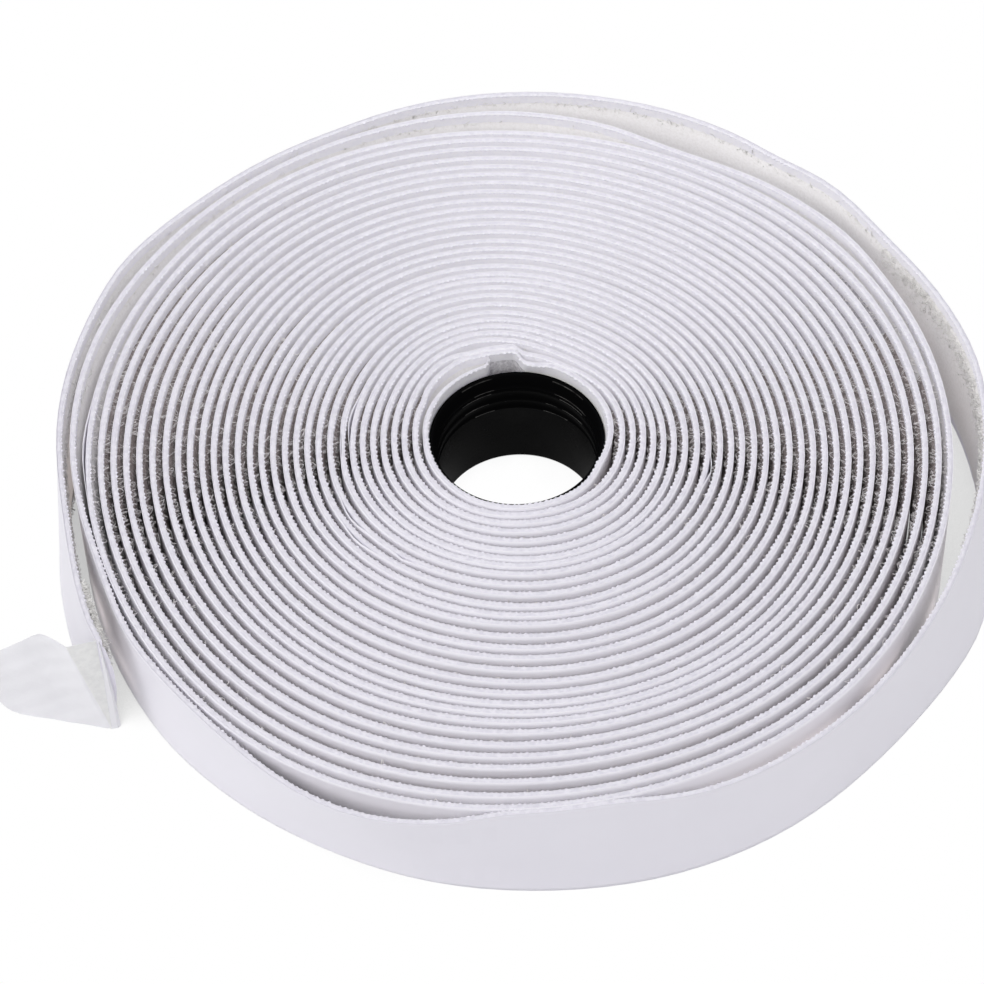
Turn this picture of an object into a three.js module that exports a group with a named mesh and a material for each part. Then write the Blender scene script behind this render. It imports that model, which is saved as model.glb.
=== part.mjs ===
// A roll of self-adhesive loop tape on a moulded core, lying flat, with its last turn slack
// and the end of its release liner peeled and folded back.
// Lengths are in millimetres, angles in degrees anticlockwise from +X as seen from above.
import * as THREE from 'three';

// Tape: a woven ground with a pile of loops on the inner side of each turn
const tapeWidth = 25;
const tapeThickness = 1.7;

// Release liner on the adhesive, on the outer side of each turn
const linerThickness = 0.25;
const linerSeat = 0.3;

// Core: a short moulded tube with ribs round its bore
const coreOuterDiameter = 31.4;
const coreWall = 1.1;
const coreRecess = 2.3;
const coreEdgeBevel = 0.25;
const ribHeight = 0.25;
const ribWidth = 0.7;
const ribPitch = 1.6;
const ribCount = 3;
const coreSides = 48;

// Winding
const coreClearance = 0.3;
const turnClearance = 0.61;
const stepsPerTurn = 24;
const startAngle = 105;
const fullTurns = 22;
const tailAngle = 180;
const endAngle = 211;
const tailSteps = 3;
const jointGap = 0.3;

// Start of the tape: a short hook that lifts off the core
const hookLift = 0.9;
const hookSteps = 4;
const hookAngle = 14;

// Out-of-round of the wound tape: [angle, half width in degrees, share at the core, share outside]
const waveHeight = 1.4;
const waveShares = [
  [62, 24, -0.3, -0.9],
  [105, 30, 0.5, 0.1],
  [200, 16, 0.3, -0.1],
  [255, 34, -0.3, 1],
  [300, 18, 0.1, 0.4],
];

// Lean: the top edge of the outer turns stands out at the front
const leanReach = 5.4;
const leanAngle = 246;
const leanHalfWidth = 17;
const leanTurns = 5;

// Slack turn: how far it stands off the tight roll, as [angle past the tight roll, top, bottom]
const slackReach = 6.5;
const slackStart = 65;
const slackShares = [
  [0, 0, 0],
  [10, 0.11, 0.17],
  [25, 0.35, 0.34],
  [40, 0.33, 0.33],
  [55, 0.29, 0.29],
  [70, 0.29, 0.29],
  [85, 0.32, 0.29],
  [100, 0.26, 0.27],
  [115, 0.09, 0.16],
  [130, 0.0, 0.03],
  [145, 0.08, 0.0],
  [160, 0.0, 0.0],
  [175, 0.0, 0.0],
  [190, 0.07, 0.0],
  [205, 0.01, 0.02],
  [220, 0.31, 0.2],
  [235, 0.57, 0.34],
  [250, 0.54, 0.43],
  [265, 0.47, 0.72],
  [280, 0.47, 1.03],
  [295, 0.62, 0.79],
  [310, 0.61, 0.64],
  [325, 0.43, 0.46],
  [340, 0.66, 0.66],
  [355, 0.74, 0.74],
  [370, 0.82, 0.82],
  [385, 0.7, 0.7],
  [400, 0.47, 0.47],
  [415, 0.29, 0.29],
  [430, 0.3, 0.3],
  [445, 0.46, 0.46],
  [460, 0.26, 0.3],
  [475, 0.09, 0.39],
  [485, 0.0, 0.47],
  [495, 0.15, 0.51],
  [506, 0.43, 0.49],
];

// Liner flap: the peeled end of the liner, folded back at the cut end of the tape
const flapLength = 20.5;
const flapOpening = 43;
const flapCrease = 4.8;
const flapBulge = 1.9;
const flapCornerShare = 0.42;
const flapTopDrop = 10;
const flapBottomRise = 4;
const flapRoundShare = 0.14;
const flapColumns = 9;
const flapRows = 5;

const degree = Math.PI / 180;
const turnDegrees = 360;
const coreRadius = coreOuterDiameter / 2;
const boreRadius = coreRadius - coreWall;
const coreHeight = tapeWidth - coreRecess;
const linerSetBack = tapeThickness + linerSeat;
const turnPitch = linerSetBack + linerThickness + turnClearance;
const firstRadius = coreRadius + coreClearance;
const tailTurn = fullTurns + (tailAngle - startAngle) / turnDegrees;
const endTurn = fullTurns + (endAngle - startAngle) / turnDegrees;
const slackTurn = fullTurns - 1 + (slackStart - startAngle) / turnDegrees;

const fabric = new THREE.MeshStandardMaterial({ color: 0xf1eef2, roughness: 0.9, metalness: 0 });
const film = new THREE.MeshStandardMaterial({ color: 0xe6e6ec, roughness: 0.35, metalness: 0 });
const plastic = new THREE.MeshStandardMaterial({ color: 0x0c0c0d, roughness: 0.28, metalness: 0 });

function smooth(share) {
  const s = Math.min(Math.max(share, 0), 1);
  return s * s * (3 - 2 * s);
}

// A round-topped bump that falls to nothing one half width either side of its middle
function bump(angle, middle, halfWidth) {
  const turned = ((angle - middle + turnDegrees * 1.5) % turnDegrees) - turnDegrees / 2;
  const share = Math.min(Math.abs(turned) / (2 * halfWidth), 1);
  return (1 + Math.cos(Math.PI * share)) / 2;
}

// A smooth line through the rows of a table, read at one of its columns
function readTable(rows, place, column) {
  let next = rows.findIndex((row) => row[0] >= place);
  if (next < 0) next = rows.length - 1;
  if (next === 0) return rows[0][column];
  const before = rows[next - 1];
  const after = rows[next];
  const share = (place - before[0]) / (after[0] - before[0]);
  return before[column] + (after[column] - before[column]) * smooth(share);
}

function angleAt(turn) {
  return startAngle + turn * turnDegrees;
}

// Radius of the tape's inner face at a turn, at a height share of 0 (bottom) to 1 (top)
function innerRadius(turn, height) {
  const angle = angleAt(turn);
  const outward = Math.min(turn / fullTurns, 1);
  let radius = firstRadius + turnPitch * turn;
  for (const [middle, halfWidth, atCore, outside] of waveShares) {
    const reach = atCore + (outside - atCore) * outward;
    radius += waveHeight * reach * bump(angle, middle, halfWidth) * smooth(turn);
  }
  const hook = 1 - (turn * turnDegrees) / hookAngle;
  if (hook > 0) radius += hookLift * hook * hook;
  const frontTurn = fullTurns - 1 + (leanAngle - startAngle) / turnDegrees;
  const leaning = 1 - (frontTurn - turn) / leanTurns;
  if (leaning > 0 && turn < tailTurn - 0.5) {
    radius += leanReach * leaning * height * bump(angle, leanAngle, leanHalfWidth);
  }
  if (turn > slackTurn) {
    const past = (turn - slackTurn) * turnDegrees;
    const top = readTable(slackShares, past, 1);
    const bottom = readTable(slackShares, past, 2);
    radius += slackReach * (bottom + (top - bottom) * height);
  }
  return radius;
}

function polar(radius, angle, z) {
  return new THREE.Vector3(radius * Math.cos(angle * degree), radius * Math.sin(angle * degree), z);
}

// The four corners of a layer's section at one turn: inner bottom, outer bottom, outer top, inner top
function sectionAt(turn, setBack, thickness) {
  const angle = angleAt(turn);
  const bottom = innerRadius(turn, 0) + setBack;
  const top = innerRadius(turn, 1) + setBack;
  return [
    polar(bottom, angle, 0),
    polar(bottom + thickness, angle, 0),
    polar(top + thickness, angle, tapeWidth),
    polar(top, angle, tapeWidth),
  ];
}

// A closed solid that joins rings of the same number of corners, capped at both ends
function joinRings(rings) {
  const corners = rings[0].length;
  const points = rings.flat();
  const triangles = [];
  for (let ring = 0; ring + 1 < rings.length; ring += 1) {
    for (let corner = 0; corner < corners; corner += 1) {
      const a = ring * corners + corner;
      const b = ring * corners + ((corner + 1) % corners);
      if (corner < corners / 2) triangles.push(a, a + corners, b + corners, a, b + corners, b);
      else triangles.push(a, a + corners, b, b, a + corners, b + corners);
    }
  }
  const last = (rings.length - 1) * corners;
  for (let corner = 1; corner + 1 < corners; corner += 1) {
    triangles.push(0, corner, corner + 1);
    triangles.push(last, last + corner + 1, last + corner);
  }
  const geometry = new THREE.BufferGeometry().setFromPoints(points);
  geometry.setIndex(triangles);
  geometry.computeVertexNormals();
  return geometry;
}

// Turns at which the wound strip has a section: close together in the hook, then evenly spaced
function windingStations() {
  const stations = [];
  const firstStep = 1 / stepsPerTurn;
  for (let step = 0; step < hookSteps; step += 1) stations.push((firstStep * step) / hookSteps);
  const steps = Math.round(tailTurn * stepsPerTurn);
  for (let step = 1; step < steps; step += 1) stations.push(step / stepsPerTurn);
  stations.push(tailTurn);
  return stations;
}

function tailStations() {
  const gapTurn = jointGap / (innerRadius(tailTurn, 0) * 2 * Math.PI);
  const first = tailTurn + gapTurn;
  return Array.from({ length: tailSteps + 1 }, (_, step) => {
    return first + ((endTurn - first) * step) / tailSteps;
  });
}

function layer(stations, setBack, thickness) {
  return joinRings(stations.map((turn) => sectionAt(turn, setBack, thickness)));
}

// Least distance between a wound layer's own turns, measured on the corners of its sections
function leastGap(stations, setBack, thickness) {
  const rings = stations.map((turn) => sectionAt(turn, setBack, thickness));
  let least = Infinity;
  for (let one = 0; one < rings.length; one += 1) {
    for (let other = one + 1; other < rings.length; other += 1) {
      if (stations[other] - stations[one] < 0.5) continue;
      if (stations[other] - stations[one] > 1.5) break;
      least = Math.min(least, rings[one][1].distanceTo(rings[other][0]));
      least = Math.min(least, rings[one][2].distanceTo(rings[other][3]));
    }
  }
  return least;
}

function coreTube() {
  const profile = [];
  const add = (radius, z) => profile.push(new THREE.Vector2(radius, z));
  add(boreRadius + coreEdgeBevel, 0);
  add(coreRadius - coreEdgeBevel, 0);
  add(coreRadius, coreEdgeBevel);
  add(coreRadius, coreHeight - coreEdgeBevel);
  add(coreRadius - coreEdgeBevel, coreHeight);
  add(boreRadius + coreEdgeBevel, coreHeight);
  add(boreRadius, coreHeight - coreEdgeBevel);
  for (let rib = 1; rib <= ribCount; rib += 1) {
    const middle = coreHeight - rib * ribPitch;
    add(boreRadius, middle + ribWidth / 2);
    add(boreRadius - ribHeight, middle + ribWidth / 4);
    add(boreRadius - ribHeight, middle - ribWidth / 4);
    add(boreRadius, middle - ribWidth / 2);
  }
  add(boreRadius, coreEdgeBevel);
  profile.push(profile[0].clone());
  return new THREE.LatheGeometry(profile, coreSides).rotateX(Math.PI / 2);
}

// Where the liner folds back: just outside the liner, past the cut end of the tape
function foldPoint() {
  const radius = innerRadius(endTurn, 0) + linerSetBack + linerThickness + jointGap;
  return polar(radius, endAngle + (jointGap / radius) / degree, 0);
}

// Height of the flap's top and bottom edge at a share of its length from the fold
function flapTop(share) {
  return tapeWidth - flapTopDrop * Math.max(share - flapCornerShare, 0) / (1 - flapCornerShare);
}

function flapBottom(share) {
  const round = Math.max(share - 1 + flapRoundShare, 0) / flapRoundShare;
  return flapBottomRise * round * round;
}

// The flap stands on its edge; a crease runs from its top edge down to the foot of the fold
function linerFlap() {
  const along = new THREE.Vector3(Math.cos(flapAngle * degree), Math.sin(flapAngle * degree), 0);
  const outward = new THREE.Vector3(-along.y, along.x, 0);
  const fold = foldPoint();
  const sheet = (offset) => {
    const rows = [];
    for (let row = 0; row <= flapRows; row += 1) {
      const height = row / flapRows;
      const crease = flapCrease * Math.max(height, 1 / flapRows);
      const line = [];
      for (let column = 0; column <= flapColumns; column += 1) {
        const place = column < 2 ? (column * crease) / 2 : crease
          + ((flapLength - crease) * (column - 2)) / (flapColumns - 2);
        const share = place / flapLength;
        const rise = place < crease ? place / crease : (flapLength - place) / (flapLength - crease);
        const z = flapBottom(share) + (flapTop(share) - flapBottom(share)) * height;
        const point = fold.clone().addScaledVector(along, place + jointGap);
        point.addScaledVector(outward, flapBulge * height * rise + offset);
        point.z = z;
        line.push(point);
      }
      rows.push(line);
    }
    return rows;
  };
  return closeSheets(sheet(0), sheet(linerThickness));
}

// A closed solid between two grids of points that face each other
function closeSheets(back, front) {
  const columns = back[0].length;
  const count = back.length * columns;
  const points = [...back.flat(), ...front.flat()];
  const triangles = [];
  const quad = (a, b, c, d) => triangles.push(a, b, c, a, c, d);
  for (let row = 0; row + 1 < back.length; row += 1) {
    for (let column = 0; column + 1 < columns; column += 1) {
      const a = row * columns + column;
      quad(a, a + 1, a + 1 + columns, a + columns);
      quad(count + a, count + a + columns, count + a + 1 + columns, count + a + 1);
    }
  }
  const rim = [];
  for (let column = 0; column < columns; column += 1) rim.push(column);
  for (let row = 1; row < back.length; row += 1) rim.push(row * columns + columns - 1);
  for (let column = columns - 2; column >= 0; column -= 1) rim.push(count - columns + column);
  for (let row = back.length - 2; row > 0; row -= 1) rim.push(row * columns);
  rim.forEach((a, place) => {
    const b = rim[(place + 1) % rim.length];
    quad(a, a + count, b + count, b);
  });
  const geometry = new THREE.BufferGeometry().setFromPoints(points);
  geometry.setIndex(triangles);
  geometry.computeVertexNormals();
  return geometry;
}

function piece(name, geometry, material) {
  const mesh = new THREE.Mesh(geometry, material);
  mesh.name = name;
  return mesh;
}

// Direction in which the flap stands: turned out from lying flat on the back of the tape
const flapAngle = endAngle - turnDegrees / 4 + flapOpening;

const stations = windingStations();
const tail = tailStations();
const roll = new THREE.Group();
roll.add(piece('core_tube', coreTube(), plastic));
roll.add(piece('tape_winding', layer(stations, 0, tapeThickness), fabric));
roll.add(piece('liner_winding', layer(stations, linerSetBack, linerThickness), film));
roll.add(piece('tape_tail', layer(tail, 0, tapeThickness), fabric));
roll.add(piece('liner_tail', layer(tail, linerSetBack, linerThickness), film));
roll.add(piece('liner_flap', linerFlap(), film));

// The origin is the middle of the footprint, on the surface that the roll lies on
const footprint = new THREE.Box3().setFromObject(roll, true);
const middle = footprint.getCenter(new THREE.Vector3());
roll.position.set(-middle.x, -middle.y, -footprint.min.z);

const tailHinge = polar(
  innerRadius(tailTurn, 0) + linerSetBack + linerThickness,
  tailAngle,
  0,
).add(roll.position);
const flapHinge = foldPoint().add(roll.position);
const report = (label, point) => {
  console.log(label, point.toArray().map((value) => value.toFixed(3)).join(' '));
};
console.log('least gap of the tape to itself', leastGap(stations, 0, tapeThickness).toFixed(3));
console.log(
  'least gap of the liner to itself',
  leastGap(stations, linerSetBack, linerThickness).toFixed(3),
);
report('core axis', roll.position);
report('tail hinge', tailHinge);
report('flap hinge', flapHinge);
report('footprint', footprint.getSize(new THREE.Vector3()));

export default roll;
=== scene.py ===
"""A roll of self-adhesive loop tape: the wound tape with its pile, its release liner and its core.

Each piece is a surface given by a formula, sampled on a grid. Lengths inside the formulas are in
millimetres from the core's axis, with angles in degrees anticlockwise from +X as seen from above;
place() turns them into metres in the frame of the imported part.
"""

import math

import bpy
import numpy as np
from bpy.props import FloatProperty, FloatVectorProperty, IntProperty, PointerProperty
from mathutils import Matrix, Vector


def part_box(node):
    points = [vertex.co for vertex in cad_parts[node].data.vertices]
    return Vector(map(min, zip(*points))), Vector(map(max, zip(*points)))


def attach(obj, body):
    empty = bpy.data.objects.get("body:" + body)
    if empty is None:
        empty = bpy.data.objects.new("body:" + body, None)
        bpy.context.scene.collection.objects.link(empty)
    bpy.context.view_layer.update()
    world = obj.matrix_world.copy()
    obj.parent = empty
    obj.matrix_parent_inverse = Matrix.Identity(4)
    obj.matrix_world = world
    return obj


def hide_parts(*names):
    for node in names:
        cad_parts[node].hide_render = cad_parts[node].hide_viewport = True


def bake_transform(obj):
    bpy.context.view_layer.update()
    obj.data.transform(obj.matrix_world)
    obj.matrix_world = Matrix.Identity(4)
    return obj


bl_info = {
    "name": "Loop tape roll",
    "version": (1, 0, 0),
    "blender": (4, 5, 0),
    "location": "3D View > Sidebar > Tape Roll",
    "description": "Builds a roll of self-adhesive loop tape around its packed frame",
    "category": "Add Mesh",
}

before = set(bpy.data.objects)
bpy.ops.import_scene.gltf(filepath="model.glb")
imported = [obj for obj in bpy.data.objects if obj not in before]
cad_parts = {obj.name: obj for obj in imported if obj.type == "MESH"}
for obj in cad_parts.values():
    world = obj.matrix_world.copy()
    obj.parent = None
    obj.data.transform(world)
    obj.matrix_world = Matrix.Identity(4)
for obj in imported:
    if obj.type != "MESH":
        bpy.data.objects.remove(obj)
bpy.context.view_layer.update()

START_ANGLE = 105.0
FIRST_TURN = -1.0


def slack_turn(degrees):
    """Turn at an angle along the slack outer turn, where the angle goes on past 360."""
    return 28 + (degrees - START_ANGLE) / 360


# Turns where the outer turn leaves the tight roll, where nothing covers its liner any more, where
# the loose end begins to bend, and where it is cut off
LOOSE_TURN = slack_turn(386.0)
COVERED_TURN = slack_turn(566.0)
SPLIT_TURN = slack_turn(861.0)
LAST_TURN = slack_turn(931.4)

# Turns where the pile begins, where the roll begins to lean, and where its outermost turns begin
PILE_START = -0.72
LEANING_TURN = 20
OUTER_TURN = 27.6

STEPS_MEASURED = 720
CLEARANCE = 0.10

# Faces of the ground's section where the bare margin and the mat of the inner face start, and the
# width in mm at each edge that never shows the mat
MARGIN_FACE = 9
MAT_FACE = 11
MATLESS = 2.0

# Least distance between grid lines, and from a strip's end to the line beside it, in turns
LEAST_STEP = 0.0008
BESIDE_END = 0.0002

# Out-of-round of the winding: for each harmonic, cosine and sine, constant, linear and square
# in the share of the winding that lies inside
HARMONICS = np.array(
    [
        [[-0.55, 0.75, -0.99], [-0.41, -3.35, 1.61]],
        [[-0.075, -0.21, -0.49], [-0.61, -1.01, 0.88]],
        [[0.57, -1.56, 1.61], [-0.08, -1.12, 1.40]],
        [[-0.12, 0.38, -0.44], [0.26, -0.01, -0.22]],
        [[-0.14, 0.55, -0.65], [0.07, -0.45, 0.55]],
        [[0.00, -0.19, 0.29], [0.04, -0.31, 0.33]],
    ]
)

# How loosely each quarter turn lies, from the core outwards, in tenths of a millimetre
LOOSENESS = np.array(
    [
        *(-4, -2, 3, 0, 5, 1, 2, 0, 2, 0, 0, 1, 1, 1, 0, 0, 1, 1, 4, -2, -2, 0, 2, -3, -2, 0, 0),
        *(-3, -4, -2, -9, 1, 2, -2, -5, 1, 1, 1, -6, 2, 2, 0, -2, 2, 0, 1, 1, 0, -6, 0, -5, 1, 0),
        *(0, -3, 3, 2, 1, 3, 1, -1, 0, 2, 1, 1, 0, 2, 2, 4, 1, 7, 1, 2, 1, 9, -1, 0, 0, 8, -1, 0),
        *(0, 6, -2, -1, -1, -1, -1, 1, -2, -4, -2, 2, -1, -5, -1, 0, 0, -2, -1, -3, 1, -6, -2, -1),
        *(1, -5, 1, 2, 0, 3, 3, -2, 0, 2, 1, 2, 0, 0),
    ]
)

# The start of the tape: its end curls off the core, it stands off the core at the front, and it
# climbs over its own end after one turn. Angle, and the radius of the inner face
START = np.array(
    [
        (105, 18.3), (105.5, 17.6), (106.5, 16.5), (108, 15.95), (110, 15.85), (185, 15.85),
        (200, 16.1), (215, 16.4), (230, 16.7), (245, 17.05), (262, 17.15), (308, 17.15),
        (320, 16.75), (330, 16.2), (342, 15.9), (370, 15.85), (446, 15.85), (446.8, 16.3),
        (448.2, 17.9), (449, 18.3), (465, 18.35), (472, 18.6), (480, 18.95), (490, 18.8),
        (500, 18.6), (510, 18.15), (517, 17.6), (525, 17.7), (540, 17.65), (560, 18.0),
    ]
)

# How far the first turn's top edge leans out, or in over the core's rim. Angle, and millimetres
BRIM = np.array(
    [
        (100, 0.0), (330, 0.0), (345, 0.35), (357, 0.5), (372, 0.5), (390, 0.2), (402, 0.0),
        (426, 0.0), (431, -0.35), (436, -0.65), (442, -0.6), (446, 0.0), (450, 0.0),
    ]
)

# The climb over the tape's end again, one turn further out. Angle, and radius of the inner face
SECOND = np.array(
    [
        (780, 16.9), (800, 17.45), (804, 17.5), (808, 18.5), (812, 19.0), (820, 19.45),
        (840, 19.8),
    ]
)

# The slack outer turn, from where it leaves the tight roll: angle, and the liner's outer radius
# at the top and at the bottom edge
SLACK = np.array(
    [
        (380, 78.1, 78.1), (390, 77.7, 77.9), (400, 77.2, 77.6), (410, 76.6, 77.2),
        (420, 75.6, 76.9), (425, 75.5, 77.0), (430, 76.4, 77.6), (435, 78.0, 78.2),
        (440, 78.8, 78.9), (445, 79.5, 79.5), (450, 80.3, 80.2), (460, 80.6, 80.6),
        (500, 80.6, 80.6), (520, 80.9, 80.6), (530, 80.5, 80.5), (540, 79.9, 79.9),
        (550, 79.0, 79.3), (555, 78.5, 79.1), (560, 78.5, 79.0), (565, 79.0, 79.0),
        (570, 80.0, 79.0), (575, 80.5, 79.2), (580, 80.7, 79.3), (585, 81.1, 79.2),
        (590, 81.9, 79.2), (595, 83.0, 79.3), (600, 84.5, 79.3), (605, 85.7, 79.5),
        (608, 86.2, 79.65), (611, 86.3, 79.9), (615, 86.0, 80.2), (619, 85.1, 80.45),
        (622, 84.2, 80.6), (625, 83.0, 80.75), (628, 81.6, 80.9), (631, 80.7, 81.05),
        (634, 80.5, 81.3), (638, 80.9, 81.6), (642, 82.0, 81.95), (646, 83.3, 82.3),
        (650, 84.1, 82.5), (655, 84.5, 82.8), (660, 84.5, 83.0), (668, 84.3, 83.1),
        (675, 83.9, 83.1), (680, 83.6, 83.4), (685, 83.3, 83.9), (692, 83.1, 85.2),
        (700, 83.0, 87.0), (706, 83.3, 87.0), (710, 83.6, 86.6), (720, 84.4, 85.4),
        (730, 84.9, 85.0), (740, 84.0, 84.2), (750, 82.9, 83.2), (755, 83.0, 83.0),
        (760, 83.9, 83.9), (765, 84.3, 84.3), (772, 83.1, 83.1), (778, 84.3, 84.3),
        (790, 85.2, 85.2), (805, 85.4, 85.4), (815, 85.1, 85.1), (825, 84.4, 84.4),
        (833, 83.3, 83.3), (855, 83.3, 83.3), (862, 84.0, 84.0), (869, 84.8, 84.8),
        (875, 84.1, 84.1), (882, 83.5, 83.6), (890, 83.1, 83.5), (898, 82.5, 84.0),
        (904, 81.9, 84.7), (910, 81.6, 84.8), (916, 82.1, 85.0), (922, 83.3, 85.3),
        (926, 84.2, 85.4), (931, 85.4, 85.5),
    ]
)

# Places where the liner has come off the ground: turn, half length in degrees, lift in mm
BUCKLES = [
    (6.19, 14.0, 0.55), (7.22, 10.0, -0.35), (8.30, 9.0, 0.5), (8.36, 5.0, 0.45), (8.66, 6.0, 0.6),
    (9.32, 9.0, 0.45), (28.21, 9.0, 0.5),
]

# Depth of each rib of the core below its rim
RIB_DEPTHS = (2.9, 3.8, 6.4, 8.6)

# Painted highlights: lighter arcs on the ribs and the bevel where the lamps reflect. Height, and
# the angles between which each lies
HIGHLIGHT_ARCS = [
    (22.3, 35, 62), (22.3, 106, 130), (19.8, 30, 60), (19.8, 105, 121), (18.9, 34, 57),
    (18.9, 108, 133), (16.3, 33, 54), (16.3, 58, 68), (16.3, 110, 130), (14.1, 50, 70),
    (14.1, 106, 122),
]

# The folded liner: where it starts, its way along and its way towards the viewer, its length, how
# far its crease reaches, where its upper corner is clipped, the grid's columns before the crease,
# and the film's thickness
FLAP_START = np.array([-72.6, -44.05])
FLAP_ALONG = np.array([-0.974, 0.226])
FLAP_ACROSS = np.array([-0.226, -0.974])
FLAP_LENGTH = 21.0
CREASE_REACH = 4.9
CORNER_START = 10.2
FACET_COLUMNS = 14
FILM = 0.1

# Lamps: place and width in m, power in W. They all face the core
LAMPS = [
    ("key_light", (-0.35, -1.30, 1.75), 1.5, 19.2),
    ("left_light", (-1.50, -0.10, 0.90), 1.0, 9.4),
    ("right_light", (1.50, -0.35, 0.90), 1.0, 4.9),
    ("back_light", (0.05, 0.22, 0.32), 0.25, 0.34),
]

# Small fills in the slack turn and behind the loose end, where the real tape lets light through:
# angle along the slack turn, 1 to face outwards or -1 inwards, length in mm, power in W
FILLS = [
    (642, -1, 18.0, 0.00016), (655, -1, 18.0, 0.00022), (668, -1, 18.0, 0.00030),
    (681, -1, 18.0, 0.00040), (694, -1, 18.0, 0.00050), (707, -1, 18.0, 0.00040),
    (728, 1, 20.0, 0.00008), (745, 1, 20.0, 0.00008), (897, 1, 14.0, 0.00010),
    (907, 1, 14.0, 0.00010), (917, -1, 12.0, 0.00034), (926, -1, 12.0, 0.00040),
]

# Pieces that move with the loose end. At its inner limit they pass the fills behind it, so those
# fills don't light them
LOOSE_PIECES = (
    "tape_ground_end", "weft_beads_end", "pile_end", "pile_fringe", "liner_end", "liner_folded",
    "liner_turned",
)

# The fitted camera, in pixels of the picture where it gives no unit
PICTURE = 984
FOCAL_LENGTH = 3440.77
CENTRE_X = 519.737
SENSOR_MM = 36.0
ELEVATION = 51.203
ROLL = -1.7305
DISTANCE_MM = 621.61
TARGET_MM = (0.214, -4.300, 12.5)

# Radii of the faces and length of the tape at close steps, filled in by measure_tape
MEASURED = {}

# Shades of each finish: place along the noise, and colour
GROUND_SHADES = [(0.35, (0.82, 0.80, 0.88)), (0.62, (0.92, 0.90, 0.97))]
# Painted light: the bare margin at the top of the inner face is a lighter copy of the woven edge
LIT_MARGIN_STOPS = [(0.35, (0.93, 0.915, 0.97)), (0.62, (0.975, 0.96, 0.995))]
# Painted shade of one white pile: dark in tight gaps, paler at the back, lit where open
MAT_DEEP_SHADE_STOPS = [(0.35, (0.31, 0.265, 0.25)), (0.52, (0.56, 0.495, 0.475)), (0.66, (0.90, 0.84, 0.82))]
MAT_HALF_SHADE_STOPS = [
    (0.35, (0.47, 0.45, 0.48)),
    (0.5, (0.66, 0.64, 0.67)),
    (0.66, (0.92, 0.90, 0.93)),
]
MAT_LIT_STOPS = [
    (0.35, (0.865, 0.845, 0.825)),
    (0.5, (0.925, 0.91, 0.895)),
    (0.64, (0.965, 0.95, 0.94)),
]
# Painted shade: the outermost turn's film, where it lies open, is darker than the covered turns
LINER_SHADES = [(0.3, (0.89, 0.875, 0.925)), (0.7, (0.925, 0.91, 0.955))]
PAINTED_OUTER_LINER_STOPS = [(0.3, (0.74, 0.725, 0.78)), (0.7, (0.77, 0.755, 0.81))]
PEELED_SHADES = [(0.35, (0.785, 0.78, 0.805)), (0.65, (0.815, 0.81, 0.835))]
BUBBLY_SHADES = [(0.38, (0.76, 0.76, 0.75)), (0.6, (0.82, 0.82, 0.805))]
# Painted highlight: the lighter streaks stand for the lamps' reflections on the core
HIGHLIGHT_STOPS = [(0.38, (0.004, 0.004, 0.004)), (0.62, (0.085, 0.082, 0.078))]
# Painted light: the pile of the open turns is a lighter copy of the pile's filaments
FILAMENT_COLORS = {"pile": (0.97, 0.94, 0.92), "pile_open": (0.99, 0.975, 0.95)}


class TapeRollSettings(bpy.types.PropertyGroup):
    """Sizes and colours of the roll that someone may want to change."""

    tape_width: FloatProperty(
        name="Tape width", description="Height of the roll as it lies flat", default=0.025,
        unit="LENGTH"
    )
    ground_thickness: FloatProperty(
        name="Ground thickness",
        description="Thickness of the woven ground with its adhesive coat", default=0.00084,
        unit="LENGTH"
    )
    liner_thickness: FloatProperty(
        name="Liner thickness", description="Thickness of the release liner", default=0.00010,
        unit="LENGTH"
    )
    bare_margin: FloatProperty(
        name="Bare margin", description="Width of the edge strip without pile", default=0.0021,
        unit="LENGTH"
    )
    first_radius: FloatProperty(
        name="First radius", description="Radius of the middle of the first gap",
        default=0.016965, unit="LENGTH", precision=6
    )
    first_pitch: FloatProperty(
        name="First pitch", description="Distance from turn to turn at the core", default=0.00180,
        unit="LENGTH"
    )
    pitch_growth: FloatProperty(
        name="Pitch growth",
        description="How much the distance from turn to turn grows in each turn",
        default=0.0000204, unit="LENGTH", precision=6
    )
    steps_per_turn: IntProperty(
        name="Steps per turn", description="Grid lines of the tape in each turn", default=120,
        min=24
    )
    core_radius: FloatProperty(
        name="Core radius", description="Outer radius of the core", default=0.0157, unit="LENGTH"
    )
    bore_radius: FloatProperty(
        name="Bore radius", description="Inner radius of the core", default=0.0145, unit="LENGTH"
    )
    core_recess: FloatProperty(
        name="Core recess", description="Depth of the core's rim below the tape's edge",
        default=0.0023, unit="LENGTH"
    )
    scallop_pitch: FloatProperty(
        name="Scallop pitch", description="Distance between the weft turns at the tape's edge",
        default=0.00095, unit="LENGTH"
    )
    pile_height: FloatProperty(
        name="Pile height", description="Height of the pile where nothing presses on it",
        default=0.0013, unit="LENGTH"
    )
    loop_density: FloatProperty(
        name="Loop density",
        description="Modelled pile loops in a square millimetre of the tight turns", default=0.60
    )
    filament_diameter: FloatProperty(
        name="Filament diameter", description="Diameter of a pile filament", default=0.00012,
        unit="LENGTH", precision=6
    )
    tape_color: FloatVectorProperty(
        name="Tape colour",
        description="Colour that the shades of the white tape and its pile are multiplied by",
        default=(1.0, 1.0, 1.0), subtype="COLOR"
    )
    liner_color: FloatVectorProperty(
        name="Liner colour",
        description="Colour that the shades of the white release liner are multiplied by",
        default=(1.0, 1.0, 1.0), subtype="COLOR"
    )
    core_color: FloatVectorProperty(
        name="Core colour", description="Colour of the moulded core",
        default=(0.0028, 0.0028, 0.0030), subtype="COLOR"
    )


def mm(value):
    return value * 1000.0


def place(points):
    """Millimetres from the core's axis to metres in the frame."""
    low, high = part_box("core_tube")
    middle = np.array([(low.x + high.x) / 2, (low.y + high.y) / 2, low.z])
    return np.asarray(points) / 1000.0 + middle


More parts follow.
